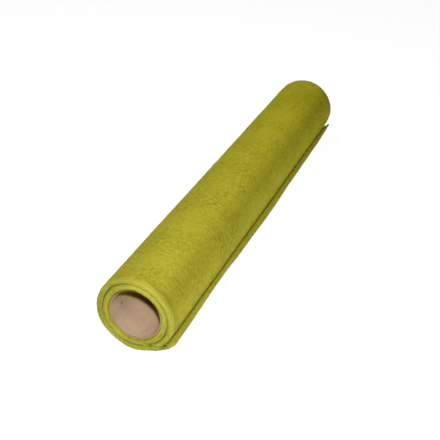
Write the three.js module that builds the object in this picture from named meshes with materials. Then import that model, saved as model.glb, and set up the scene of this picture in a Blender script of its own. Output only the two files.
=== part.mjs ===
// A short roll of thick needle-felted non-woven cloth, wound two turns round a thin cardboard tube.
// Millimetres, +Z up. The roll lies along Y and rests on a narrow flat at Z = 0 under its axis; the origin is
// the middle of that flat. Angles go round the axis from straight down, through +X, as the cloth is wound.

import * as THREE from 'three';

// Driving sizes
const clothWidth = 450;       // along the roll
const tubeBore = 40;          // inside diameter of the cardboard tube
const tubeWall = 1.2;
const tubeSetBack = 1.7;      // how far each end of the tube lies inside the end of the roll
const tubeClearance = 0.3;    // between the tube and the cloth on it
const turnGap = 0.35;         // between one turn of cloth and the next
const restHeight = 31.6;      // from the surface up to the axis, a little less than the roll's radius
const stepDegrees = 7.5;      // between the section's points, a whole number of them to the turn
const crossSections = 13;     // along the roll, both ends included

// Thickness of the cloth as it is wound. It starts thin, where the inner end is pressed down on the tube, and each
// later turn is squeezed where it rides over that start. The soft turns share the rest of the roll unevenly.
const winding = [
  { degrees: 22.5, thickness: 0.8 },
  { degrees: 30, thickness: 3.3 },
  { degrees: 37.5, thickness: 4.3 },
  { degrees: 45, thickness: 4.6 },
  { degrees: 60, thickness: 4.7 },
  { degrees: 90, thickness: 4.5 },
  { degrees: 120, thickness: 4.1 },
  { degrees: 165, thickness: 4.3 },
  { degrees: 187.5, thickness: 5 },
  { degrees: 210, thickness: 5.6 },
  { degrees: 232.5, thickness: 5.2 },
  { degrees: 255, thickness: 4.5 },
  { degrees: 285, thickness: 4.1 },
  { degrees: 345, thickness: 4.1 },
  { degrees: 360, thickness: 4.2 },
  { degrees: 375, thickness: 4.7 },
  { degrees: 382.5, thickness: 4.9 },
  { degrees: 390, thickness: 3.7 },
  { degrees: 397.5, thickness: 3.9 },
  { degrees: 405, thickness: 4.3 },
  { degrees: 420, thickness: 5 },
  { degrees: 450, thickness: 5.5 },
  { degrees: 480, thickness: 5.9 },
  { degrees: 525, thickness: 5.7 },
  { degrees: 547.5, thickness: 5 },
  { degrees: 570, thickness: 4.4 },
  { degrees: 592.5, thickness: 4.8 },
  { degrees: 615, thickness: 5.5 },
  { degrees: 645, thickness: 5.9 },
  { degrees: 720, thickness: 5.9 },
  { degrees: 735, thickness: 5.4 },
  { degrees: 742.5, thickness: 4.9 },
  { degrees: 750, thickness: 4.3 },
  { degrees: 757.5, thickness: 4 },
  { degrees: 765, thickness: 4.5 },
  { degrees: 773, thickness: 4.9 },
];

// The loose outer end along the roll: where its cut edge stops, how thick the edge is and how far it stands
// off the turn below. It wanders, as a hand-cut edge does, and its far corner is thin and lifts.
const looseEnd = [
  { along: 0, degrees: 783, thickness: 4.8, standOff: 0.4 },
  { along: 0.2, degrees: 782, thickness: 3.9, standOff: 0.3 },
  { along: 0.35, degrees: 781, thickness: 4.8, standOff: 0.5 },
  { along: 0.5, degrees: 782, thickness: 5.3, standOff: 0.7 },
  { along: 0.65, degrees: 783, thickness: 4.8, standOff: 0.6 },
  { along: 0.87, degrees: 782, thickness: 4.6, standOff: 0.4 },
  { along: 0.94, degrees: 781, thickness: 3.6, standOff: 0.9 },
  { along: 1, degrees: 780, thickness: 2.2, standOff: 1.9 },
];

const feltMaterial = new THREE.MeshStandardMaterial({ color: '#a8a032', roughness: 0.95, metalness: 0 });
const cardboardMaterial = new THREE.MeshStandardMaterial({ color: '#b9946c', roughness: 0.85, metalness: 0 });

const tubeRadius = tubeBore / 2 + tubeWall;
const firstRadius = tubeRadius + tubeClearance;
const windingStart = winding[0].degrees;
const windingEnd = winding[winding.length - 1].degrees;

// A column of a table at a place between two of its rows, eased so that it has no corner at a row.
function tableValue(rows, key, column, place) {
  const next = rows.findIndex((row) => row[key] > place);
  if (next === 0) {
    return rows[0][column];
  }
  if (next < 0) {
    return rows[rows.length - 1][column];
  }
  const before = rows[next - 1];
  const after = rows[next];
  const share = (place - before[key]) / (after[key] - before[key]);
  return THREE.MathUtils.lerp(before[column], after[column], THREE.MathUtils.smoothstep(share, 0, 1));
}

// Each turn lies on the turn below, and the first one on the tube.
function innerRadius(degrees) {
  if (degrees - 360 < windingStart) {
    return firstRadius;
  }
  return outerRadius(degrees - 360) + turnGap;
}

function outerRadius(degrees) {
  return innerRadius(degrees) + tableValue(winding, 'degrees', 'thickness', degrees);
}

// The point at an angle and radius, kept above the surface that the roll rests on.
function pointAt(degrees, radius) {
  const angle = THREE.MathUtils.degToRad(degrees);
  return new THREE.Vector2(radius * Math.sin(angle), Math.max(0, restHeight - radius * Math.cos(angle)));
}

// The cloth's outline across the roll: out along its outer side, over the cut edge and back along its inner side.
function clothSection(along) {
  const endDegrees = tableValue(looseEnd, 'along', 'degrees', along);
  const endThickness = tableValue(looseEnd, 'along', 'thickness', along);
  const standOff = tableValue(looseEnd, 'along', 'standOff', along);
  const outerSide = [];
  const innerSide = [];
  for (let degrees = windingStart; degrees < windingEnd; degrees += stepDegrees) {
    outerSide.push(pointAt(degrees, outerRadius(degrees)));
    innerSide.push(pointAt(degrees, innerRadius(degrees)));
  }
  const endInner = innerRadius(endDegrees) + standOff;
  outerSide.push(pointAt(endDegrees, endInner + endThickness));
  innerSide.push(pointAt(endDegrees, endInner));
  return [...outerSide, ...innerSide.reverse()];
}

// A closed solid through outlines that all have the same number of points, set out evenly along Y.
function loft(outlines, length) {
  const count = outlines[0].length;
  const last = outlines.length - 1;
  const positions = [];
  const faces = [];
  outlines.forEach((outline, row) => {
    const y = length * (row / last - 0.5);
    outline.forEach((point) => positions.push(point.x, y, point.y));
  });
  for (let row = 0; row < last; row += 1) {
    for (let i = 0; i < count; i += 1) {
      const near = row * count + i;
      const nearNext = row * count + (i + 1) % count;
      faces.push(near, near + count, nearNext, nearNext, near + count, nearNext + count);
    }
  }
  const firstCap = THREE.ShapeUtils.triangulateShape(outlines[0], []);
  const lastCap = THREE.ShapeUtils.triangulateShape(outlines[last], []);
  firstCap.forEach(([a, b, c]) => faces.push(a, b, c));
  lastCap.forEach(([a, b, c]) => faces.push(last * count + a, last * count + c, last * count + b));
  const geometry = new THREE.BufferGeometry();
  geometry.setAttribute('position', new THREE.Float32BufferAttribute(positions, 3));
  geometry.setIndex(faces);
  geometry.computeVertexNormals();
  return geometry;
}

function makeCloth() {
  const outlines = [];
  for (let i = 0; i < crossSections; i += 1) {
    outlines.push(clothSection(i / (crossSections - 1)));
  }
  const cloth = new THREE.Mesh(loft(outlines, clothWidth), feltMaterial);
  cloth.name = 'felt_cloth';
  return cloth;
}

function makeTube() {
  const half = clothWidth / 2 - tubeSetBack;
  const profile = [
    new THREE.Vector2(tubeRadius, -half),
    new THREE.Vector2(tubeRadius, half),
    new THREE.Vector2(tubeBore / 2, half),
    new THREE.Vector2(tubeBore / 2, -half),
    new THREE.Vector2(tubeRadius, -half),
  ];
  const tube = new THREE.Mesh(new THREE.LatheGeometry(profile, 360 / stepDegrees), cardboardMaterial);
  tube.name = 'cardboard_tube';
  tube.position.z = restHeight;
  return tube;
}

const roll = new THREE.Group();
roll.add(makeTube(), makeCloth());

export default roll;
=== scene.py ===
"""A short roll of thick needle-felted cloth on a cardboard tube, with its loose fibres, finishes and stage.

Metres, +Z up. The roll lies along Y. Angles go round its axis in degrees from straight down, through +X, and
keep counting from turn to turn as the cloth is wound.
"""

import math

import bpy
import numpy as np
from mathutils import Color, Matrix, Vector


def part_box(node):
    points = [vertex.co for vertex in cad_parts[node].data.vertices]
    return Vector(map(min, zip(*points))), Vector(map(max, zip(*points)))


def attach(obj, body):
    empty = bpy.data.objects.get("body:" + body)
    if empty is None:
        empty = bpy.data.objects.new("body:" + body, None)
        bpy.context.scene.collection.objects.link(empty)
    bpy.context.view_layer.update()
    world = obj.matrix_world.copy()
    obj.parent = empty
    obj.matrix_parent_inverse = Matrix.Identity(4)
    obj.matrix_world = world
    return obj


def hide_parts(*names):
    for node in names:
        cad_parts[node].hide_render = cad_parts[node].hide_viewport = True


bl_info = {
    "name": "Felt roll",
    "version": (1, 0, 0),
    "blender": (4, 5, 0),
    "location": "3D View > Sidebar > Felt roll",
    "description": "Makes the wound felt cloth, its cardboard tube and the stage they stand on",
    "category": "Mesh",
}

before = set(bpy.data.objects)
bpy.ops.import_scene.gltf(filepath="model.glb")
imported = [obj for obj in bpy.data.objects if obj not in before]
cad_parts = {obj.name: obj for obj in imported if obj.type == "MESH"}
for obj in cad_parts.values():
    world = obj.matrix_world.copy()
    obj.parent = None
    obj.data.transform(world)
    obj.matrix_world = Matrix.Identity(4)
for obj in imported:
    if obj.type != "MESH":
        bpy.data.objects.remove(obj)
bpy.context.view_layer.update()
BODY = "root"

CLOTH_LOW, CLOTH_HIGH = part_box("felt_cloth")
TUBE_LOW, TUBE_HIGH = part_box("cardboard_tube")
TUBE_RADIUS = (TUBE_HIGH.x - TUBE_LOW.x) / 2
AXIS_HEIGHT = (TUBE_HIGH.z + TUBE_LOW.z) / 2
HALF_CLOTH = (CLOTH_HIGH.y - CLOTH_LOW.y) / 2
HALF_TUBE = (TUBE_HIGH.y - TUBE_LOW.y) / 2

FULL_TURN = 360.0
TUBE_CLEARANCE = 0.0003
TURN_GAP = 0.00035
PRESSED_SHARE = 0.7  # how much of that gap closes where a turn is pressed against the next one
ROLL_RADIUS = 0.032

# Thickness of the cloth as it is wound. It starts thin where the inner end is pressed on the tube, and each
# later turn is squeezed where it rides over that start. The soft turns share the rest of the roll unevenly.
WINDING = (
    # degrees, thickness in metres
    (22.5, 0.0008), (30, 0.0033), (37.5, 0.0043), (45, 0.0046), (60, 0.0047), (90, 0.0045), (120, 0.0041),
    (165, 0.0043), (187.5, 0.0050), (210, 0.0056), (232.5, 0.0052), (255, 0.0045), (285, 0.0041),
    (345, 0.0041), (360, 0.0042), (375, 0.0047), (382.5, 0.0049), (390, 0.0037), (397.5, 0.0039),
    (405, 0.0043), (420, 0.0050), (450, 0.0055), (480, 0.0059), (525, 0.0057), (547.5, 0.0050),
    (570, 0.0044), (592.5, 0.0048), (615, 0.0055), (645, 0.0059), (720, 0.0059), (735, 0.0054),
    (742.5, 0.0049), (750, 0.0043), (757.5, 0.0040), (765, 0.0045), (773, 0.0049),
)
WINDING_START = WINDING[0][0]

# Where a turn's outer side is pressed shut against the next one, so that no groove shows between their edges.
PRESSED = (
    # degrees, share
    (22.5, 1), (33, 1), (38, 0), (370, 0), (378, 1), (400, 1), (408, 0),
)

# Creases in the cut ends, where a turn that rides over the start of the cloth is drawn together.
CREASES = (
    # from degrees, to degrees, radius there and there
    (364, 398, 0.0262, 0.0260), (757, 772, 0.0317, 0.0315),
)
CREASE_WIDTH = 0.0007
CREASE_FADE = 4.0

# The loose outer end: where its cut edge stops, how thick it is and how far it stands off the turn below.
LOOSE_END = (
    # share of the way along the roll, degrees, thickness, stand-off
    (0, 783, 0.0048, 0.0004), (0.2, 782, 0.0039, 0.0003), (0.35, 781, 0.0048, 0.0005),
    (0.5, 782, 0.0053, 0.0007), (0.65, 783, 0.0048, 0.0006), (0.87, 782, 0.0046, 0.0004),
    (0.94, 781, 0.0036, 0.0009), (1, 780, 0.0022, 0.0019),
)
USUAL_EDGE = 782.0

# Stretches of the winding, in degrees from and to: the inner side leaves the tube for the turn below, the
# outer side comes out from under the next turn, and the loose end lets go.
LEAVES_TUBE = (372, 388)
COMES_OUT = (415, 432)
OUTSIDE_FROM = 421
LETS_GO = (765, 777)
LAST_LOOP = 779.5  # the mesh's last full loop, before the rounded cut edge

# The points of a loose strand, as shares of its length from its middle.
STRAND_POINTS = 5
STRAND = np.linspace(-0.5, 0.5, STRAND_POINTS)[None, :]

# Painted shade in the groove between two turns on the cut ends, round the roll, as rows of degrees and share.
PAINTED_GROOVE_SHADE = (
    (0, 0.76), (20, 0.76), (40, 0.7), (70, 0.42), (120, 0.2), (150, 0.04), (175, 0.2), (200, 0.62),
    (222, 0.46), (245, 0.54), (290, 0.3), (318, 0.26), (340, 0.62), (360, 0.76),
)

# How light the felt is, as rows of degrees and tone: its nap round the outside of the roll together with
# # painted light and shade, and painted light and shade on its cut ends along the winding.
NAP_AND_PAINTED_LIGHT_TONE = (
    (64, 1.0), (75, 1.0), (87, 1.11), (97, 1.07), (107, 0.96), (122, 0.85), (133, 0.94), (145, 1.04),
    (155, 1.06), (168, 1.04), (180, 0.99), (195, 0.93), (215, 0.91), (270, 0.97), (360, 1.0),
)
CUT_PAINTED_LIGHT_TONE = (
    (22.5, 0.9), (60, 0.8), (90, 1.02), (120, 1.03), (150, 1.16), (180, 1.18), (220, 0.9), (280, 1.0),
    (330, 1.02), (360, 1.04), (385, 0.95), (400, 1.0), (460, 1.08), (520, 1.2), (560, 0.92), (620, 0.79),
    (680, 1.02), (715, 0.98), (745, 0.93), (783, 0.78),
)

# Painted light and shade on the cut ends round the roll: on their rounded outside, and on the felt
# # beside the tube.
CROWN_PAINTED_LIGHT_TONE = (
    (0, 1.12), (60, 1.05), (90, 0.87), (120, 0.69), (138, 0.76), (150, 0.81), (200, 0.9), (230, 1.12),
    (360, 1.12),
)
CROWN_REACH = 0.006
BORE_PAINTED_LIGHT_TONE = (
    (0, 0.84), (30, 1.0), (60, 1.65), (90, 1.35), (120, 1.05), (150, 1.12), (180, 0.85), (210, 1.05),
    (240, 0.76), (280, 0.7), (300, 0.76), (330, 0.98), (360, 0.84),
)

# How much red, green and blue the painted shade in a groove takes away, how dark the painted shade in a
# # crease is, and how much the painted shadow beside the loose edge takes away.
GROOVE_TAKES = (0.75, 0.70, 0.97)
PAINTED_CREASE_SHADE = 0.85
EDGE_TAKES = (0.03, 0.04, 0.92)

# Painted light and shade on the tube round its cut rim and round its inside, as rows of degrees and tone.
RIM_PAINTED_LIGHT_TONE = (
    (0, 1.2), (30, 1.3), (60, 1.4), (90, 1.3), (120, 0.7), (150, 0.7), (180, 0.35), (210, 0.4), (240, 1.2),
    (270, 1.2), (300, 1.05), (330, 1.3), (360, 1.2),
)
BOARD_PAINTED_LIGHT_TONE = (
    (0, 1.07), (15, 1.09), (30, 1.3), (60, 1.35), (90, 1.1), (120, 0.95), (180, 0.85), (235, 0.9),
    (255, 0.98), (275, 0.9), (290, 0.82), (310, 0.89), (325, 0.96), (345, 1.0), (360, 1.07),
)
# Light reaches this far into the tube at this angle, and less far round from it. Beyond it a shadow is
# # painted on the board, darker still at some angles, as rows of degrees and share.
LIT_DEPTH = 0.0373
LIT_DEGREES = 329.0
UNLIT_SHADE = (
    (0, 0.0), (220, 0.0), (262, 0.3), (290, 0.2), (315, 0.0), (360, 0.0),
)
# The dark spot on the board: its angle, how far inside the tube it lies, and its soft edge and core.
SPOT_DEGREES = 282.5
SPOT_DEPTH = 0.0168
SPOT_EDGE = 0.0019
SPOT_CORE = 0.0008


def smooth(share):
    """Eases a share from 0 to 1 by 3t^2 - 2t^3."""
    return share * share * (3 - 2 * share)


def eased(rows, where, column=1):
    """A column of a short table at the places asked for, eased from row to row."""
    table = np.asarray(rows, float)
    places = table[:, 0]
    values = table[:, column]
    where = np.clip(where, places[0], places[-1])
    row = np.clip(np.searchsorted(places, where, side="right") - 1, 0, len(places) - 2)
    share = (where - places[row]) / (places[row + 1] - places[row])
    return values[row] + (values[row + 1] - values[row]) * smooth(share)


def ramp(low, high, where):
    """0 below low, 1 above high and eased between them."""
    return smooth(np.clip((where - low) / (high - low), 0, 1))


def band(rise, fall, where):
    """1 between a rise and a fall, each given as (from, to), and 0 outside them."""
    return ramp(*rise, where) * (1 - ramp(*fall, where))


def uneven(across, along, seed):
    """Smooth random heights from -1 to 1: one at every whole (across, along), eased between each four."""
    size = 256
    table = np.random.default_rng(seed).uniform(-1, 1, (size, size))
    row = np.floor(across).astype(int)
    column = np.floor(along).astype(int)
    s = smooth(across - row)
    t = smooth(along - column)
    left = column % size
    right = (column + 1) % size
    low, high = (table[at % size, left] * (1 - t) + table[at % size, right] * t for at in (row, row + 1))
    return low * (1 - s) + high * s


def add_object(name, data):
    """A new object in the scene, at the origin."""
    obj = bpy.data.objects.new(name, data)
    bpy.context.scene.collection.objects.link(obj)
    return obj


def new_piece(name, vertices, quads, triangles, material):
    """A closed mesh object from whole arrays of corners, riding on the part's body, with its slot."""
    mesh = bpy.data.meshes.new(name)
    corners = np.concatenate([quads.ravel(), triangles.ravel()]).astype(np.int32)
    sizes = np.concatenate([np.full(len(quads), 4), np.full(len(triangles), 3)])
    starts = np.concatenate([[0], np.cumsum(sizes)[:-1]]).astype(np.int32)
    mesh.vertices.add(len(vertices))
    mesh.vertices.foreach_set("co", np.ascontiguousarray(vertices, np.float32).ravel())
    mesh.loops.add(len(corners))
    mesh.loops.foreach_set("vertex_index", corners)
    mesh.polygons.add(len(sizes))
    mesh.polygons.foreach_set("loop_start", starts)
    mesh.polygons.foreach_set("use_smooth", np.ones(len(sizes), bool))
    mesh.update(calc_edges=True)
    if mesh.validate():
        raise RuntimeError(f"{name}: the mesh had faults")
    mesh.materials.append(material)
    piece = add_object(name, mesh)
    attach(piece, BODY)
    return piece


def ring_quads(steps, rows, columns):
    """The quads of a grid that has a ring of points in each row: the point, the row and the column of each
    corner. Rows and columns count on past a seam, as a UV map needs."""
    row, column = np.meshgrid(np.arange(steps), np.arange(columns), indexing="ij")
    corner_row = np.stack([row, row, row + 1, row + 1], -1).reshape(-1, 4)
    corner_column = np.stack([column, column + 1, column + 1, column], -1).reshape(-1, 4)
    return corner_row % rows * columns + corner_column % columns, corner_row, corner_column


def add_uv(piece, corner_u, corner_v):
    """A UV map in metres from one u and one v for each face corner."""
    layer = piece.data.uv_layers.new(name="surface")
    layer.data.foreach_set("uv", np.stack([corner_u, corner_v], -1).astype(np.float32).ravel())


def add_measure(piece, name, values):
    """A number for each point of the mesh, for its material to read."""
    attribute = piece.data.attributes.new(name, "FLOAT", "POINT")
    attribute.data.foreach_set("value", values.astype(np.float32).ravel())


def add_tint(piece, values):
    """A colour for each point of the mesh, for its material to be multiplied by."""
    attribute = piece.data.attributes.new("tint", "FLOAT_COLOR", "POINT")
    with_alpha = np.concatenate([values.reshape(-1, 3), np.ones((values.size // 3, 1))], 1)
    attribute.data.foreach_set("color", with_alpha.astype(np.float32).ravel())


# The wound cloth


def thickness_at(degrees):
    """Thickness of the cloth at an angle of its winding."""
    return eased(WINDING, degrees)


def pressed_at(degrees):
    """1 where the outer side is pressed shut against the next turn, and 0 where a groove shows."""
    return np.where(degrees < WINDING_START, 0.0, eased(PRESSED, degrees))


def inner_radius(degrees):
    """The radius of the cloth's inner side: that of the tube, and the thickness and gap of each turn below,
    with a gentle rise over the start of the cloth."""
    radius = np.full_like(degrees, TUBE_RADIUS + TUBE_CLEARANCE)
    for turns in (1, 2):
        below = degrees - turns * FULL_TURN
        gap = TURN_GAP * (1 - PRESSED_SHARE * pressed_at(below))
        radius += ramp(WINDING_START - 9, WINDING_START + 2, below) * (thickness_at(below) + gap)
    return radius


def place_on_roll(degrees, radius, y):
    """The point at an angle, radius and place along the roll, kept above the surface that it rests on."""
    angle = np.radians(degrees)
    height = np.maximum(0.0, AXIS_HEIGHT - radius * np.cos(angle))
    return np.stack([radius * np.sin(angle), y, height], -1)


def along_share(y):
    """0 at the near end of the cloth and 1 at its far end."""
    return np.clip((y - CLOTH_LOW.y) / (CLOTH_HIGH.y - CLOTH_LOW.y), 0, 1)


def loose_edge(y):
    """Where the loose outer end is cut, in degrees: the hand-cut line with its small nicks."""
    nicks = 0.5 * uneven(y / 0.009, y * 0, 61) + 0.35 * uneven(y / 0.0035, y * 0, 62)
    return eased(LOOSE_END, along_share(y)) + nicks


def wound_length(degrees):
    """Distance along the cloth from its inner end: the middle radius summed degree by degree."""
    steps = np.linspace(0, 800, 801)
    middle = inner_radius(steps) + thickness_at(steps) / 2
    return np.interp(degrees, steps, np.cumsum(middle) * np.radians(1.0))


def relief(length, y, settings):
    """Height of the felt's face: broad unevenness, and fine crests that run round the roll and wander."""
    sway = settings.crest_sway
    wander = sway * uneven(length / 0.022, y / 0.03, 11) + 0.4 * sway * uneven(length / 0.009, y / 0.012, 12)
    crests = uneven(length / 0.0042, (y + wander) / settings.crest_spacing * 2, 13)
    finer = uneven(length / 0.0026, (y + wander) / settings.crest_spacing * 3.7, 14)
    broad = uneven(length / 0.045, y / 0.06, 15) + 0.5 * uneven(length / 0.015, y / 0.018, 16)
    return settings.crest_height * (0.7 * crests + 0.3 * finer) + settings.broad_height * broad


def cloth_face(degrees, y, settings):
    """Radius of the cloth's inner and outer sides at an angle and a place along it: its turns, the loose end
    let out, the relief of its face, and a pinch in the near corner of the loose end."""
    opened = ramp(*LETS_GO, degrees)
    share = along_share(y)
    inner = inner_radius(degrees) + opened * eased(LOOSE_END, share, 3)
    thick = thickness_at(degrees) * (1 - opened) + opened * eased(LOOSE_END, share, 2)
    raised = ramp(OUTSIDE_FROM, OUTSIDE_FROM + 7, degrees) * relief(wound_length(degrees), y, settings)
    pinched = band((744, 762), (773, 784), degrees) * (1 - ramp(0.008, 0.05, share))
    return inner, inner + thick + raised - settings.pinch * pinched


def cloth_columns():
    """The loop round the cloth at one angle: outer side, far cut edge, inner side and near cut edge. A column
    has its place along the roll from -1 to 1, how far out it is on the half circle of a cut edge, and its
    side, from 1 on the outer side to -1 on the inner one."""
    angle = np.linspace(math.pi / 2, -math.pi / 2, 13)
    out = np.cos(angle)[1:-1]
    side = np.sin(angle)[1:-1]
    outer = np.linspace(-1, 1, 500)
    inner = np.linspace(1, -1, 41)
    edge = np.ones(len(out))
    run = np.concatenate([outer, edge, inner, -edge])
    bulge = np.concatenate([outer * 0, out, inner * 0, out])
    sides = np.concatenate([outer * 0 + 1, side, inner * 0 - 1, side[::-1]])
    return run, bulge, sides


def cloth_loops():
    """The angles at which the mesh has a loop, and how much of the thickness each loop takes: all of it along
    the cloth, and less and less down a superellipse at its two rounded ends."""
    bend = np.linspace(0.003, math.pi / 2, 9)
    power = 2 / 3.2
    share = (np.sin(bend) ** power)[:-1]
    place = (1 - np.cos(bend) ** power)[:-1]
    start = WINDING_START + 3.0 * place
    on_tube = np.arange(WINDING_START + 5, 371, 8)
    parting = np.arange(373, 401, 1.7)
    opening = [405, 411, 418, 426]
    outside = np.linspace(434, 750, 79)
    near_edge = np.linspace(752, LAST_LOOP, 15)
    edge = LAST_LOOP + 2.6 * (1 - place[::-1])
    full = np.concatenate([on_tube, parting, opening, outside, near_edge])
    return np.concatenate([start, full, edge]), np.concatenate([share, np.ones(len(full)), share[::-1]])


def crease_at(degrees, side):
    """How far the cut edge is creased, from 0 to 1: a bell curve across each crease, faded at its ends."""
    radius = inner_radius(degrees) + thickness_at(degrees) * (side + 1) / 2
    creased = np.zeros_like(radius)
    for first, last, first_radius, last_radius in CREASES:
        shown = band((first, first + CREASE_FADE), (last - CREASE_FADE, last), degrees)
        middle = first_radius + (last_radius - first_radius) * (degrees - first) / (last - first)
        creased += shown * np.exp(-((radius - middle) / CREASE_WIDTH) ** 2)
    return creased


def end_wander(degrees, end, settings):
    """How far the cut at the near (end -1) or far (end 1) end of the roll wanders along it. Low on one side
    the outer turn falls back from the end."""
    near = uneven(degrees / 31, degrees * 0, 21)
    far = uneven(degrees / 27, degrees * 0, 22)
    fallen = band((610, 670), (735, 755), degrees)
    return settings.cut_wander * np.where(end < 0, near, far) - end * settings.fall_back * fallen


def edge_fall(degrees, side, settings):
    """How far the cut edge falls back from the end of the roll, from its middle to its sides, along a
    superellipse: late and by little where turns meet, sooner and further on the outside of the roll and round
    the tube."""
    outermost = ramp(*COMES_OUT, degrees) * (1 - 0.85 * ramp(760, 776, degrees))
    innermost = 1 - ramp(*LEAVES_TUBE, degrees)
    free = np.where(side >= 0, outermost, innermost)
    free_depth = np.where(side >= 0, settings.crown, settings.bore_depth)
    depth = settings.groove_depth + free * (free_depth - settings.groove_depth)
    groove_power = 3.0
    power = groove_power + free * (2 - groove_power)
    return depth * (1 - np.clip(1 - np.abs(side) ** power, 0, 1) ** (1 / power))


def cut_edge(degrees, side, end, settings):
    """The radius and place along the roll of a point on the near (end -1) or far (end 1) cut edge."""
    creased = settings.crease_depth * crease_at(degrees, side)
    y = end * (HALF_CLOTH - edge_fall(degrees, side, settings) - creased)
    y = y + end_wander(degrees, end, settings)
    inner, outer = cloth_face(degrees, y, settings)
    return (inner + outer) / 2 + (outer - inner) / 2 * side, y


def groove_at(degrees, side):
    """How much painted shade a point of the cut edge gets, from 0 to 1: in the creases and towards the turns
    on both sides, where they are not pressed shut."""
    under = (0.4 + 0.6 * ramp(370, 390, degrees)) * (1 - pressed_at(degrees - FULL_TURN))
    over = (1 - ramp(*COMES_OUT, degrees)) * (1 - pressed_at(degrees))
    groove = eased(PAINTED_GROOVE_SHADE, degrees % FULL_TURN) * np.where(side > 0, over, under) * np.abs(side) ** 1.9
    return groove + PAINTED_CREASE_SHADE * crease_at(degrees, side)


def felt_tint(degrees, side, bulge, y):
    """What the felt's colour is multiplied by: its uneven nap with painted light and shade round the roll,
    painted light and shade on its cut ends, painted shade in the grooves between turns, towards the far end
    and on the loose end, and a painted deep green shadow beside the loose edge, where light comes only by way
    of the felt."""
    around = degrees % FULL_TURN
    share = along_share(y)
    cut = bulge > 0
    outer_face = side > 0.9
    # The nap with painted light and shade round the roll, and painted light and shade on the cut ends.
    tone = eased(NAP_AND_PAINTED_LIGHT_TONE, around) * (1 - bulge) + eased(CUT_PAINTED_LIGHT_TONE, degrees) * bulge

    # Painted light and shade on the rounded outside of the cut ends and on the felt beside the tube.
    near_end = np.exp(-((HALF_CLOTH - np.abs(y)) / CROWN_REACH) ** 2)
    on_crown = np.where(cut, ramp(0.1, 0.6, side), near_end * outer_face) * ramp(*COMES_OUT, degrees)
    tone = tone * (1 + (eased(CROWN_PAINTED_LIGHT_TONE, around) - 1) * on_crown)
    at_bore = ramp(0.2, 0.8, -side) * cut * (1 - ramp(*LEAVES_TUBE, degrees))
    tone = tone * (1 + (eased(BORE_PAINTED_LIGHT_TONE, around) - 1) * at_bore)

    # Painted shadow beside the loose edge, and painted shade towards the far end and on the loose end's lip.
    beyond_edge = degrees - (loose_edge(y) - FULL_TURN)
    outside = outer_face * (degrees > OUTSIDE_FROM)
    beside = (1 - ramp(3, 19, beyond_edge)) * outside
    close = (1 - ramp(0.5, 10, beyond_edge)) * outside
    painted_far_shade = ramp(0.72, 0.95, share) * (1 - ramp(165, 195, around))
    on_lip = ramp(770, 780, degrees) * (bulge == 0)
    tone = tone * (1 - 0.32 * close) * (1 - 0.1 * painted_far_shade) * (1 - 0.09 * on_lip)

    # Painted shade in the grooves and creases of the cut ends.
    groove = groove_at(degrees, side) * cut
    levels = zip((tone, tone, tone ** 1.8), GROOVE_TAKES, EDGE_TAKES)
    red, green, blue = (level * (1 - taken * groove) * (1 - beside_taken * beside)
                        for level, taken, beside_taken in levels)
    # Painted shade: less blue towards the far end, and on the inner side of the lip.
    blue = blue * (1 - 0.7 * ramp(0.0, 1.1, share)) * (1 - 0.2 * on_lip * (side < 0))
    return np.stack([red, green, blue], -1)


def zip_rows(first, second, first_place, second_place):
    """Triangles between two open rows of points, taken in the order of their places along the rows."""
    places = np.concatenate([first_place[1:], second_place[1:]])
    from_first = np.concatenate([np.ones(len(first) - 1, bool), np.zeros(len(second) - 1, bool)])
    step_first = from_first[np.argsort(places, kind="stable")]
    done_first = np.cumsum(step_first) - step_first
    done_second = np.cumsum(~step_first) - ~step_first
    next_first = first[np.minimum(done_first + 1, len(first) - 1)]
    next_second = second[np.minimum(done_second + 1, len(second) - 1)]
    following = np.where(step_first, next_first, next_second)
    return np.stack([first[done_first], second[done_second], following], -1)


def cloth_caps(bulge, y):
    """The triangles that close the first and the last loop, from their outer side across to the inner one."""
    rows, columns = y.shape
    index = np.arange(rows * columns).reshape(rows, columns)
    far_tip, near_tip = np.flatnonzero(bulge == 1)
    outer_side = np.concatenate([np.arange(near_tip + 1, columns), np.arange(far_tip)])
    inner_side = np.arange(near_tip - 1, far_tip, -1)
    caps = []
    for row in (0, rows - 1):
        first = index[row][outer_side]
        second = index[row][inner_side]
        strip = zip_rows(first, second, y[row][outer_side], y[row][inner_side])
        near_corner = [[index[row][near_tip], second[0], first[0]]]
        far_corner = [[first[-1], second[-1], index[row][far_tip]]]
        caps.append(np.concatenate([near_corner, strip, far_corner]))
    return np.concatenate([caps[0], caps[1][:, ::-1]])


def surface_lengths(degrees, closing, side, y):
    """Distances over the cloth for its UV map: to each loop along the winding, with the way over the rounded
    ends, and to each column round the middle loop, with the way over the cut edges."""
    end_half = 0.0024
    edge_half = 0.0025
    end_step = np.abs(np.diff(closing, prepend=closing[0])) * end_half
    length = np.cumsum(np.hypot(np.diff(wound_length(degrees), prepend=0), end_step))
    loop = y[len(y) // 2]
    loop_step = np.hypot(np.diff(loop, append=loop[0]), np.diff(side, append=side[0]) * edge_half)
    return length, np.concatenate([[0], np.cumsum(loop_step)])


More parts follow.
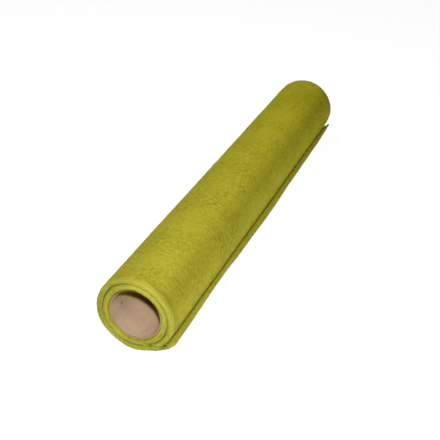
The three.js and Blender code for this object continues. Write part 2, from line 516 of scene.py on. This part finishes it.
def make_cloth(settings, material):
    """The wound cloth. At each angle a rounded loop goes round its thickness and width, and the loops follow
    the winding: the radius is that of the middle of the cloth plus half its thickness times the side. Towards
    the loose end the loops are drawn to the hand-cut line."""
    columns = cloth_columns()
    loops = cloth_loops()
    run, bulge, side = (values[None, :] for values in columns)
    degrees, closing = (values[:, None] for values in loops)

    share = (run + 1) / 2
    creased = settings.crease_depth * crease_at(degrees, side) * (bulge > 0)
    y = run * (HALF_CLOTH - edge_fall(degrees, side, settings) - creased)
    y = y + end_wander(degrees, -1.0, settings) * (1 - share) ** 12
    y = y + end_wander(degrees, 1.0, settings) * share ** 12

    drawn = ramp(745, LAST_LOOP, degrees)
    turned = degrees + drawn * (loose_edge(y) - USUAL_EDGE)
    inner, outer = cloth_face(turned, y, settings)
    middle = (inner + outer) / 2
    blunt = np.where(side > 0, pressed_at(degrees), pressed_at(degrees - FULL_TURN))
    filled = np.sign(side) * np.abs(side) ** (1 - 0.75 * blunt)
    radius = middle + (outer - middle) * filled * closing
    vertices = place_on_roll(turned, radius, y).reshape(-1, 3)

    rows = degrees.size
    quads, corner_row, corner_column = ring_quads(rows - 1, rows, run.size)
    triangles = cloth_caps(bulge, y)
    piece = new_piece("felt", vertices, quads, triangles, material)
    length, loop_length = surface_lengths(*loops, columns[2], y)
    cap_row, cap_column = np.divmod(triangles, run.size)
    corner_u = length[np.concatenate([corner_row.ravel(), cap_row.ravel()])]
    corner_v = loop_length[np.concatenate([corner_column.ravel(), cap_column.ravel()])]
    add_uv(piece, corner_u, corner_v)
    add_measure(piece, "cut", np.maximum(bulge, 1 - closing))
    add_tint(piece, felt_tint(degrees, side, bulge, y))
    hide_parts("felt_cloth")
    return piece


def make_strands(name, paths, widths, tone, tint, cut, material):
    """Fine closed strands: a three-sided ring at each point of a path, narrowed towards both ends. Each has
    its own tone, and the tint of the felt that it lies on, cut or not."""
    count, points, _ = paths.shape
    tangent = np.gradient(paths, axis=1)
    tangent /= np.linalg.norm(tangent, axis=-1, keepdims=True) + 1e-12
    spoke = np.zeros_like(paths)
    spoke[..., 0] = paths[..., 0]
    spoke[..., 2] = paths[..., 2] - AXIS_HEIGHT
    sideways = np.cross(tangent, spoke)
    sideways /= np.linalg.norm(sideways, axis=-1, keepdims=True) + 1e-12
    lift = np.cross(sideways, tangent)
    taper = np.sin(np.linspace(0.12, math.pi - 0.12, points)) ** 0.5
    corner = np.radians([90.0, 210.0, 330.0])[:, None]
    spread = (widths[:, None] * taper[None, :] / 2)[..., None, None]
    ring = np.cos(corner) * sideways[:, :, None, :] + np.sin(corner) * lift[:, :, None, :]
    vertices = (paths[:, :, None, :] + spread * ring).reshape(-1, 3)
    vertices[:, 2] = np.maximum(vertices[:, 2], 0.0)
    index = np.arange(count * points * 3).reshape(count, points, 3)
    around = np.roll(index, -1, 2)
    quads = np.stack([index[:, 1:], around[:, 1:], around[:, :-1], index[:, :-1]], -1).reshape(-1, 4)
    triangles = np.concatenate([index[:, 0], index[:, -1, ::-1]])
    piece = new_piece(name, vertices, quads, triangles, material)
    add_measure(piece, "tone", np.repeat(tone, points * 3))
    add_measure(piece, "cut", np.full(count * points * 3, cut))
    add_tint(piece, np.repeat(tint, points * 3, axis=0))
    return piece


def face_fibres(name, seed, settings, material):
    """Strands that lie on the cloth's face, mostly round the roll, and lifted at one end. Each is a row of
    equal steps whose direction turns steadily. Strands that would pass the cut ends or the loose edge are
    left out."""
    count = settings.fibre_count
    reach = HALF_CLOTH - 0.001
    tip_reach = HALF_CLOTH - 0.0024
    edge_margin = 1.6
    rng = np.random.default_rng(seed)
    degrees = rng.uniform(424, 781, count)
    y = rng.uniform(-reach, reach, count)
    length = settings.fibre_length * rng.lognormal(0, 0.45, count)
    heading = rng.normal(0, 0.85, count) + 0.5 * uneven(degrees / 40, y / 0.03, 31)
    bend = rng.normal(0, 0.9, count)
    direction = heading[:, None] + bend[:, None] * STRAND
    step = (length / (STRAND_POINTS - 1))[:, None]
    around = np.cumsum(np.cos(direction), 1) * step
    across = np.cumsum(np.sin(direction), 1) * step
    around -= around.mean(1, keepdims=True)
    across -= across.mean(1, keepdims=True)
    place = degrees[:, None] + np.degrees(around / ROLL_RADIUS)
    place_y = y[:, None] + across
    kept = (np.abs(place_y).max(1) < tip_reach) & ((place - loose_edge(place_y)).max(1) < -edge_margin)
    outer = cloth_face(place, place_y, settings)[1]
    width = settings.fibre_width * rng.lognormal(0, 0.35, count)
    lift = rng.gamma(1.3, settings.fibre_lift / 1.3, count)[:, None]
    lifted_end = rng.choice([-2, 2], (count, 1))
    paths = place_on_roll(place, outer + lift * np.clip(STRAND * lifted_end, 0, 1) ** 1.6, place_y)
    middle = STRAND_POINTS // 2
    tint = felt_tint(place[:, middle], np.ones(count), np.zeros(count), place_y[:, middle])
    tone = rng.uniform(0, 1, count)
    return make_strands(name, paths[kept], width[kept], tone[kept], tint[kept], 0.0, material)


def edge_fibres(name, seed, settings, material):
    """Short strands on the cut ends of the roll, mostly along the turns, some of them bristling out."""
    count = settings.edge_fibre_count
    rng = np.random.default_rng(seed)
    end = rng.choice([-1.0, 1.0], count)[:, None]
    first, last = WINDING_START + 8, 772
    degrees = first + (last - first) * rng.uniform(0, 1, count) ** 0.8
    side = rng.uniform(-0.95, 0.95, count)
    length = settings.edge_fibre_length * rng.lognormal(0, 0.4, count)
    heading = rng.normal(0, 0.8, count)
    direction = heading[:, None] + rng.normal(0, 0.8, count)[:, None] * STRAND
    half_thick = thickness_at(degrees) / 2
    middle_radius = inner_radius(degrees) + half_thick
    place = degrees[:, None] + np.degrees(np.cos(direction) * STRAND * (length / middle_radius)[:, None])
    across = np.sin(direction) * STRAND * (length / half_thick)[:, None]
    sides = np.clip(side[:, None] + across, -0.97, 0.97)
    radius, y = cut_edge(place, sides, end, settings)
    lift = rng.gamma(1.2, settings.edge_fibre_lift / 1.2, count)[:, None]
    paths = place_on_roll(place, radius, y + end * (lift * np.clip(STRAND + 0.5, 0, 1) ** 1.5))
    width = settings.fibre_width * rng.lognormal(0, 0.3, count)
    tint = felt_tint(degrees, side, np.ones(count), y[:, STRAND_POINTS // 2])
    return make_strands(name, paths, width, rng.uniform(0, 1, count), tint, 1.0, material)


# Finishes


class Finish:
    """The nodes of a material or of the world, put together one at a time."""

    def __init__(self, owner):
        self.owner = owner
        owner.use_nodes = True
        self.tree = owner.node_tree
        self.tree.nodes.clear()

    def node(self, kind, inputs=None, **settings):
        """A node with its settings, its inputs set to values or joined to other nodes' outputs."""
        made = self.tree.nodes.new("ShaderNode" + kind)
        for name, value in settings.items():
            setattr(made, name, value)
        for name, value in (inputs or {}).items():
            if isinstance(value, bpy.types.NodeSocket):
                self.tree.links.new(value, made.inputs[name])
            else:
                made.inputs[name].default_value = (*value, 1.0) if isinstance(value, Color) else value
        return made

    def noise(self, vector, scale, detail, roughness):
        inputs = {"Vector": vector, "Scale": scale, "Detail": detail, "Roughness": roughness}
        return self.node("TexNoise", inputs).outputs["Fac"]

    def vector(self, operation, first, second):
        return self.node("VectorMath", {0: first, 1: second}, operation=operation).outputs[0]

    def grain(self, vector, scale, detail, roughness):
        """Noise that is finer one way than the other."""
        return self.noise(self.vector("MULTIPLY", vector, scale), 1.0, detail, roughness)

    def span(self, value, low, high, to_low=0.0, to_high=1.0):
        """A value carried from low and high to to_low and to_high, and held there outside them."""
        inputs = {"Value": value, "From Min": low, "From Max": high, "To Min": to_low, "To Max": to_high}
        return self.node("MapRange", inputs).outputs[0]

    def mix(self, share, first, second):
        """Two colours mixed. The node's inputs 6 and 7 and its output 2 are its colours."""
        return self.node("Mix", {0: share, 6: first, 7: second}, data_type="RGBA").outputs[2]

    def maths(self, operation, first, second):
        return self.node("Math", {0: first, 1: second}, operation=operation).outputs[0]

    def measure(self, name, output="Fac"):
        """What the mesh says of each point."""
        return self.node("Attribute", attribute_name=name, attribute_type="GEOMETRY").outputs[output]

    def tinted(self, colour):
        tint = self.measure("tint", "Vector")
        return self.vector("MULTIPLY", colour, tint)

    def surface(self, inputs):
        """Ends the material in one shader with these inputs."""
        shader = self.node("BsdfPrincipled", inputs)
        self.node("OutputMaterial", {"Surface": shader.outputs[0]})
        return self.owner


def felt_finish(settings):
    """Needle felt: mottled olive, with pale streaks and specks and a fine tangle, in colour and relief."""
    felt = Finish(bpy.data.materials.new("felt_cloth_finish"))
    uv = felt.node("UVMap", uv_map="surface").outputs[0]
    sway = felt.node("TexNoise", {"Vector": uv, "Scale": 32.0, "Detail": 2.0}).outputs["Color"]
    centred = felt.vector("SUBTRACT", sway, (0.5, 0.5, 0.5))
    wander = felt.vector("MULTIPLY", centred, (0.012, 0.014, 0.0))
    warped = felt.vector("ADD", uv, wander)
    streaks = felt.grain(warped, scale=(300.0, 400.0, 1.0), detail=3.0, roughness=0.6)
    tangle = felt.grain(warped, scale=(900.0, 1100.0, 1.0), detail=3.0, roughness=0.65)
    mottle = felt.noise(uv, scale=28.0, detail=3.0, roughness=0.55)
    specks = felt.grain(warped, scale=(420.0, 900.0, 1.0), detail=1.0, roughness=0.5)
    body = felt.mix(felt.span(mottle, 0.4, 0.6), settings.deep_colour, settings.colour)
    streaked = felt.mix(felt.span(streaks, 0.41, 0.66), body, settings.pale_colour)
    tangled = felt.mix(felt.span(tangle, 0.45, 0.75, 0.0, 0.3), streaked, settings.deep_colour)
    specked = felt.mix(felt.span(specks, 0.66, 0.78, 0.0, 0.5), tangled, settings.pale_colour)
    cut = felt.measure("cut")
    edged = felt.mix(felt.span(cut, 0.2, 1.0, 0.0, 0.85), specked, settings.cut_colour)
    toned = felt.tinted(edged)
    height = felt.maths("ADD", felt.span(streaks, 0.0, 1.0, 0.0, 0.6), felt.span(tangle, 0.0, 1.0, 0.0, 0.5))
    bump = felt.node("Bump", {"Strength": 0.6, "Distance": 0.0006, "Height": height}).outputs[0]
    return felt.surface({
        "Base Color": toned, "Roughness": 0.95, "Normal": bump, "Specular IOR Level": 0.12,
        "Sheen Weight": 0.15, "Sheen Roughness": 0.5, "Sheen Tint": settings.pale_colour,
    })


def fibre_finish(settings):
    """Single fibres of the same felt, each with its own tone."""
    fibre = Finish(bpy.data.materials.new("felt_fibre_finish"))
    tone = fibre.measure("tone")
    place = fibre.node("TexCoord").outputs["Object"]
    patches = fibre.noise(place, scale=60.0, detail=2.0, roughness=0.5)
    share = fibre.maths("ADD", fibre.maths("MULTIPLY", tone, 0.7), fibre.maths("MULTIPLY", patches, 0.4))
    colour = fibre.mix(share, settings.colour, settings.pale_colour)
    cut = fibre.measure("cut")
    edged = fibre.mix(fibre.maths("MULTIPLY", cut, 0.6), colour, settings.cut_colour)
    return fibre.surface({
        "Base Color": fibre.tinted(edged), "Roughness": 0.8, "Specular IOR Level": 0.25,
        "Sheen Weight": 0.1, "Sheen Roughness": 0.5, "Sheen Tint": settings.pale_colour,
    })


def cardboard_finish(settings):
    """Kraft board: cloudy pulp and short fibres along the paper, with painted light near the ends of the tube
    and a painted shadow, darker and yellower, deep inside it, and one dark spot."""
    board = Finish(bpy.data.materials.new("cardboard_finish"))
    uv = board.node("UVMap", uv_map="surface").outputs[0]
    clouds = board.noise(uv, scale=95.0, detail=4.0, roughness=0.6)
    grain = board.grain(uv, scale=(900.0, 260.0, 1.0), detail=3.0, roughness=0.6)
    place = board.node("TexCoord").outputs["Object"]
    spot = Vector(place_on_roll(SPOT_DEGREES, TUBE_RADIUS - settings.wall, TUBE_LOW.y + SPOT_DEPTH))
    from_spot = board.node("VectorMath", {0: place, 1: spot}, operation="DISTANCE").outputs["Value"]
    body = board.mix(board.span(clouds, 0.36, 0.64), settings.deep_colour, settings.colour)
    grained = board.mix(board.span(grain, 0.4, 0.75, 0.0, 0.35), body, settings.pale_colour)
    on_spot = board.span(from_spot, SPOT_EDGE, SPOT_CORE, 0.0, 0.8)
    spotted = board.mix(on_spot, grained, settings.spot_colour)
    cut = board.measure("cut")
    depth = board.measure("depth")
    # Painted light just inside the tube's ends, fading towards where the light stops reaching.
    painted_mouth_light = board.mix(board.span(depth, 0.0, 0.8, 0.25, 0.0), spotted, settings.pale_colour)
    # A painted shadow deep inside the tube, beyond where the light reaches.
    painted_inner_shadow = board.mix(board.span(depth, 0.99, 1.12), painted_mouth_light, settings.painted_shadow_colour)
    ended = board.mix(cut, painted_inner_shadow, settings.cut_colour)
    toned = board.tinted(ended)
    height = board.maths("ADD", board.maths("MULTIPLY", grain, 0.4), board.maths("MULTIPLY", clouds, 0.6))
    bump = board.node("Bump", {"Strength": 0.35, "Distance": 0.0003, "Height": height}).outputs[0]
    return board.surface({
        "Base Color": toned, "Roughness": 0.85, "Normal": bump, "Specular IOR Level": 0.25,
    })


# The tube


def rim_profile(wall, corner):
    """Half the tube's length at points across its wall, less a quarter circle at each corner and a wave with
    a shallow groove in each paper ply."""
    plies = 4
    ply_groove = 0.00008
    across = np.linspace(-1, 1, 8 * plies + 1)
    radius = (TUBE_RADIUS - wall + TUBE_RADIUS) / 2 + across * (wall / 2)
    into_corner = np.clip((np.abs(across) - 0.6) / 0.4, 0, 1)
    rounded_off = corner * (1 - np.sqrt(np.clip(1 - into_corner ** 2, 0, 1)))
    grooves = ply_groove * (1 - np.cos(plies * math.pi * (across + 1))) / 2
    return radius, HALF_TUBE - rounded_off - grooves


def make_tube(settings, material):
    """The tube: the section of its wall, with a rounded and slightly ragged rim at both ends, turned round
    the axis."""
    segments = 144
    inner = TUBE_RADIUS - settings.wall
    corner = settings.wall * 0.2
    rim_radius, rim_y = rim_profile(settings.wall, corner)
    run = np.linspace(HALF_TUBE - 2 * corner, -HALF_TUBE + 2 * corner, 62)
    outer_run = np.full(len(run), TUBE_RADIUS)
    radius = np.concatenate([rim_radius, outer_run, rim_radius[::-1], np.full(len(run), inner)])
    y = np.concatenate([rim_y, run, -rim_y[::-1], run[::-1]])
    angle = np.linspace(0, 2 * math.pi, segments, endpoint=False)[:, None]
    ragged = 0.00012 * uneven(angle / (2 * math.pi) * 24, angle * 0, 41)
    y_grid = y + ragged * (np.abs(y) / HALF_TUBE) ** 40 * np.sign(y)
    vertices = np.stack([radius * np.sin(angle), y_grid, AXIS_HEIGHT - radius * np.cos(angle)], -1)

    rings = ring_quads(segments, segments, len(radius))
    quads, corner_row, corner_column = (corners[:, ::-1] for corners in rings)
    no_triangles = np.zeros((0, 3), int)
    piece = new_piece("tube", vertices.reshape(-1, 3), quads, no_triangles, material)
    profile_step = np.hypot(np.diff(radius, append=radius[0]), np.diff(y, append=y[0]))
    profile = np.concatenate([[0], np.cumsum(profile_step)])
    around = np.linspace(0, 2 * math.pi * TUBE_RADIUS, segments + 1)
    add_uv(piece, around[corner_row].ravel(), profile[corner_column].ravel())

    end = ramp(HALF_TUBE - 1.9 * corner, HALF_TUBE - 1.1 * corner, np.abs(y))
    add_measure(piece, "cut", np.tile(end, segments))
    # How far in the light reaches at each angle, for the painted shadow beyond it.
    lit_depth = LIT_DEPTH * np.maximum(np.cos(angle - math.radians(LIT_DEGREES)), 0.25)
    depth = (HALF_TUBE - np.abs(y)) / lit_depth
    add_measure(piece, "depth", depth)
    # Painted light and shade round the rim and the inside, and painted shadow beyond the light's reach.
    tables = (RIM_PAINTED_LIGHT_TONE, BOARD_PAINTED_LIGHT_TONE, UNLIT_SHADE)
    rim_tone, board_tone, shade = (eased(rows, np.degrees(angle)) for rows in tables)
    unlit = ramp(1.0, 1.2, depth) * shade
    tone = ((board_tone + (rim_tone - board_tone) * end) * (1 - unlit)).ravel()
    add_tint(piece, np.stack([tone, tone, tone ** 1.2], -1))
    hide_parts("cardboard_tube")
    return piece


# Stage


def aim(obj, place, forward):
    """Puts an object at a place, with its -Z along forward and its +Y as near to upright as that allows."""
    back = -forward.normalized()
    right = Vector((0, 0, 1)).cross(back).normalized()
    turn = Matrix((right, back.cross(right), back)).transposed()
    obj.matrix_world = Matrix.Translation(place) @ turn.to_4x4()


def direction_from(azimuth, elevation):
    """Unit vector towards an azimuth, in degrees from -Y through +X, and an elevation."""
    a = math.radians(azimuth)
    e = math.radians(elevation)
    return Vector((math.sin(a) * math.cos(e), -math.cos(a) * math.cos(e), math.sin(e)))


def add_lamp(name, target, azimuth, elevation, distance, size, power):
    """A square white area lamp that faces its target from an azimuth, elevation and distance."""
    lamp = bpy.data.lights.new(name, "AREA")
    lamp.shape = "SQUARE"
    lamp.size = size
    lamp.energy = power
    towards = direction_from(azimuth, elevation)
    aim(add_object(name, lamp), target + towards * distance, -towards)


def seen_by_eye(finish):
    """1 for rays from the camera and for mirrored or refracted ones, and 0 for the light's own rays."""
    path = finish.node("LightPath").outputs
    glossy = finish.maths("MAXIMUM", path["Is Camera Ray"], path["Is Glossy Ray"])
    return finish.maths("MAXIMUM", glossy, path["Is Transmission Ray"])


def floor_finish(settings):
    """A pale matt floor that lightens to white for the eye and still keeps the roll's shadow."""
    floor = Finish(bpy.data.materials.new("floor_finish"))
    matt = floor.node("BsdfDiffuse", {"Color": settings.floor_colour}).outputs[0]
    glow = floor.node("Emission", {"Color": (1, 1, 1, 1), "Strength": settings.floor_glow}).outputs[0]
    share = floor.maths("MULTIPLY", seen_by_eye(floor), 0.8)
    shown = floor.node("MixShader", {0: share, 1: matt, 2: glow}).outputs[0]
    floor.node("OutputMaterial", {"Surface": shown})
    return floor.owner


def make_world(settings):
    """A white surround for the eye that gives only a weak even light."""
    surround = Finish(bpy.data.worlds.new("surround"))
    strength = surround.span(seen_by_eye(surround), 0.0, 1.0, settings.fill, 1.0)
    background = surround.node("Background", {"Color": (1, 1, 1, 1), "Strength": strength})
    surround.node("OutputWorld", {"Surface": background.outputs[0]})
    bpy.context.scene.world = surround.owner


def make_floor(settings):
    """One square, centred under the roll."""
    half = settings.floor_size / 2
    corners = [(-half, -half, 0), (half, -half, 0), (half, half, 0), (-half, half, 0)]
    mesh = bpy.data.meshes.new("floor")
    mesh.from_pydata(corners, [], [(0, 1, 2, 3)])
    mesh.materials.append(floor_finish(settings))
    floor = add_object("floor", mesh)


def make_camera(settings):
    """The camera, at its place and looking from its azimuth and elevation."""
    camera = bpy.data.cameras.new("camera")
    camera.lens = settings.lens
    camera.sensor_width = 36.0
    camera.clip_start = 0.01
    obj = add_object("camera", camera)
    looks_from = direction_from(settings.camera_azimuth, settings.camera_elevation)
    aim(obj, Vector(settings.camera_place), -looks_from)
    bpy.context.scene.camera = obj


# Settings


class FeltSettings(bpy.types.PropertyGroup):
    colour: bpy.props.FloatVectorProperty(
        name="Colour", description="The felt's usual colour",
        subtype="COLOR", default=(0.385, 0.355, 0.019), min=0, max=1)
    deep_colour: bpy.props.FloatVectorProperty(
        name="Deep colour", description="Colour in its hollows",
        subtype="COLOR", default=(0.295, 0.268, 0.009), min=0, max=1)
    pale_colour: bpy.props.FloatVectorProperty(
        name="Pale colour", description="Colour of raised fibres",
        subtype="COLOR", default=(0.48, 0.44, 0.045), min=0, max=1)
    cut_colour: bpy.props.FloatVectorProperty(
        name="Cut colour", description="Colour on the cut edges",
        subtype="COLOR", default=(0.405, 0.392, 0.053), min=0, max=1)
    crown: bpy.props.FloatProperty(
        name="Crown", description="How deep the outermost cut edge is rounded",
        unit="LENGTH", default=0.0028, min=0.0005, max=0.005)
    groove_depth: bpy.props.FloatProperty(
        name="Groove depth", description="How deep the grooves between turns are",
        unit="LENGTH", default=0.0013, min=0.0003, max=0.005)
    crease_depth: bpy.props.FloatProperty(
        name="Crease depth", description="How deep the creases are",
        unit="LENGTH", default=0.0007, min=0, max=0.003)
    bore_depth: bpy.props.FloatProperty(
        name="Bore depth", description="How deep the cut edge is rounded at the tube",
        unit="LENGTH", default=0.002, min=0.0003, max=0.005)
    cut_wander: bpy.props.FloatProperty(
        name="Cut wander", description="How far the cut ends wander",
        unit="LENGTH", default=0.0005, min=0, max=0.003)
    fall_back: bpy.props.FloatProperty(
        name="Fall back", description="How far the outer turn falls back",
        unit="LENGTH", default=0.0011, min=0, max=0.004)
    pinch: bpy.props.FloatProperty(
        name="Pinch", description="How far the corner of the loose end is pinched",
        unit="LENGTH", default=0.0009, min=0, max=0.003)
    crest_height: bpy.props.FloatProperty(
        name="Crest height", description="Height of the fine crests",
        unit="LENGTH", default=0.0001, min=0, max=0.001)
    crest_spacing: bpy.props.FloatProperty(
        name="Crest spacing", description="From one crest to the next",
        unit="LENGTH", default=0.0046, min=0.001, max=0.02)
    crest_sway: bpy.props.FloatProperty(
        name="Crest sway", description="How far the crests wander",
        unit="LENGTH", default=0.006, min=0, max=0.02)
    broad_height: bpy.props.FloatProperty(
        name="Broad height", description="Height of the broad unevenness",
        unit="LENGTH", default=0.00016, min=0, max=0.002)
    fibre_count: bpy.props.IntProperty(
        name="Fibres", description="Loose fibres in each piece of them", default=7600, min=0, max=7600)
    fibre_length: bpy.props.FloatProperty(
        name="Fibre length", description="Usual length of a fibre",
        unit="LENGTH", default=0.0045, min=0.001, max=0.03)
    fibre_width: bpy.props.FloatProperty(
        name="Fibre width", description="Usual width of a fibre",
        unit="LENGTH", default=0.00011, min=0.00002, max=0.001)
    fibre_lift: bpy.props.FloatProperty(
        name="Fibre lift", description="How far a loose end lifts",
        unit="LENGTH", default=0.0003, min=0, max=0.005)
    edge_fibre_count: bpy.props.IntProperty(
        name="Edge fibres", description="Loose fibres on the cut ends", default=6000, min=0, max=7600)
    edge_fibre_length: bpy.props.FloatProperty(
        name="Edge fibre length", description="Usual length of a fibre on a cut end",
        unit="LENGTH", default=0.003, min=0.0005, max=0.01)
    edge_fibre_lift: bpy.props.FloatProperty(
        name="Edge fibre lift", description="How far a fibre bristles out of a cut end",
        unit="LENGTH", default=0.0004, min=0, max=0.003)


class TubeSettings(bpy.types.PropertyGroup):
    wall: bpy.props.FloatProperty(
        name="Wall", description="Thickness of the tube's wall",
        unit="LENGTH", default=0.0012, min=0.0005, max=0.003)
    colour: bpy.props.FloatVectorProperty(
        name="Colour", description="The board's usual colour",
        subtype="COLOR", default=(0.535, 0.382, 0.256), min=0, max=1)
    deep_colour: bpy.props.FloatVectorProperty(
        name="Deep colour", description="Colour of its darker clouds",
        subtype="COLOR", default=(0.455, 0.32, 0.21), min=0, max=1)
    pale_colour: bpy.props.FloatVectorProperty(
        name="Pale colour", description="Colour of its pale fibres",
        subtype="COLOR", default=(0.61, 0.452, 0.32), min=0, max=1)
    spot_colour: bpy.props.FloatVectorProperty(
        name="Spot colour", description="Colour of its one dark spot",
        subtype="COLOR", default=(0.22, 0.13, 0.08), min=0, max=1)
    cut_colour: bpy.props.FloatVectorProperty(
        name="Cut colour", description="Colour of its cut ends",
        subtype="COLOR", default=(0.25, 0.196, 0.078), min=0, max=1)
    # The colour of the painted shadow deep inside the tube.
    painted_shadow_colour: bpy.props.FloatVectorProperty(
        name="Inward colour", description="Colour deep inside",
        subtype="COLOR", default=(0.48, 0.32, 0.035), min=0, max=1)


class StageSettings(bpy.types.PropertyGroup):
    floor_size: bpy.props.FloatProperty(
        name="Floor size", description="Side of the floor", unit="LENGTH", default=8.0, min=1, max=50)
    floor_colour: bpy.props.FloatVectorProperty(
        name="Floor colour", description="Colour of the floor",
        subtype="COLOR", default=(0.9, 0.9, 0.9), min=0, max=1)
    floor_glow: bpy.props.FloatProperty(
        name="Floor glow", description="White that the eye sees", default=1.15, min=0, max=2)
    fill: bpy.props.FloatProperty(
        name="Fill", description="Strength of the even light", default=0.02, min=0, max=2)
    key_power: bpy.props.FloatProperty(
        name="Key power", description="Power of the key lamp", unit="POWER", default=12.6, min=0)
    side_power: bpy.props.FloatProperty(
        name="Side power", description="Power of the side lamp", unit="POWER", default=3.8, min=0)
    key_size: bpy.props.FloatProperty(
        name="Key size", description="Side of the key lamp", unit="LENGTH", default=0.05, min=0.01)
    camera_place: bpy.props.FloatVectorProperty(
        name="Camera place", description="Where the camera stands",
        subtype="TRANSLATION", default=(0.24936, -0.70412, 0.40444))
    camera_azimuth: bpy.props.FloatProperty(
        name="Camera azimuth", description="Degrees from -Y through +X that it looks from", default=20.8)
    camera_elevation: bpy.props.FloatProperty(
        name="Camera elevation", description="Degrees above level that it looks from", default=28.6)
    lens: bpy.props.FloatProperty(
        name="Lens", description="Focal length", unit="CAMERA", default=72.5, min=10)


class FeltRollSettings(bpy.types.PropertyGroup):
    felt: bpy.props.PointerProperty(type=FeltSettings)
    tube: bpy.props.PointerProperty(type=TubeSettings)
    stage: bpy.props.PointerProperty(type=StageSettings)


class FELTROLL_OT_tube(bpy.types.Operator):
    """Make the cardboard tube"""

    bl_idname = "feltroll.tube"
    bl_label = "Make tube"

    def execute(self, context):
        settings = context.scene.felt_roll.tube
        make_tube(settings, cardboard_finish(settings))
        return {"FINISHED"}


class FELTROLL_OT_cloth(bpy.types.Operator):
    """Make the wound felt cloth and the fibres on it"""

    bl_idname = "feltroll.cloth"
    bl_label = "Make cloth"

    def execute(self, context):
        settings = context.scene.felt_roll.felt
        cloth = make_cloth(settings, felt_finish(settings))
        finish = fibre_finish(settings)
        fibres = [face_fibres(f"face_fibres_{i}", 100 + i, settings, finish) for i in range(3)]
        fibres.append(edge_fibres("edge_fibres", 211, settings, finish))
        return {"FINISHED"}


class FELTROLL_OT_stage(bpy.types.Operator):
    """Make the floor, the surround, the lamps and the camera"""

    bl_idname = "feltroll.stage"
    bl_label = "Make stage"

    def execute(self, context):
        settings = context.scene.felt_roll.stage
        make_floor(settings)
        make_world(settings)
        near_end = Vector((0.0, CLOTH_LOW.y, AXIS_HEIGHT))
        add_lamp("key", near_end, azimuth=28.9, elevation=38.8, distance=1.05,
                 size=settings.key_size, power=settings.key_power)
        past_middle = Vector((0.0, 0.05, AXIS_HEIGHT))
        add_lamp("side", past_middle, azimuth=-95.0, elevation=62.0, distance=0.95,
                 size=0.4, power=settings.side_power)
        make_camera(settings)
        context.scene.view_settings.view_transform = "Standard"
        return {"FINISHED"}


class FELTROLL_PT_panel(bpy.types.Panel):
    """The felt roll's settings and the buttons that make its pieces"""

    bl_idname = "FELTROLL_PT_panel"
    bl_label = "Felt roll"
    bl_space_type = "VIEW_3D"
    bl_region_type = "UI"
    bl_category = "Felt roll"

    def draw(self, context):
        settings = context.scene.felt_roll
        groups = (settings.tube, settings.felt, settings.stage)
        for group, operator in zip(groups, (FELTROLL_OT_tube, FELTROLL_OT_cloth, FELTROLL_OT_stage)):
            box = self.layout.box()
            for name in group.bl_rna.properties.keys():
                if name not in ("rna_type", "name"):
                    box.prop(group, name)
            box.operator(operator.bl_idname)


CLASSES = (
    FeltSettings, TubeSettings, StageSettings, FeltRollSettings,
    FELTROLL_OT_tube, FELTROLL_OT_cloth, FELTROLL_OT_stage, FELTROLL_PT_panel,
)


def register():
    for cls in CLASSES:
        bpy.utils.register_class(cls)
    bpy.types.Scene.felt_roll = bpy.props.PointerProperty(type=FeltRollSettings)


def unregister():
    del bpy.types.Scene.felt_roll
    for cls in reversed(CLASSES):
        bpy.utils.unregister_class(cls)


def main():
    register()
    bpy.ops.feltroll.stage()
    bpy.ops.feltroll.tube()
    bpy.ops.feltroll.cloth()


if __name__ == "__main__":
    main()
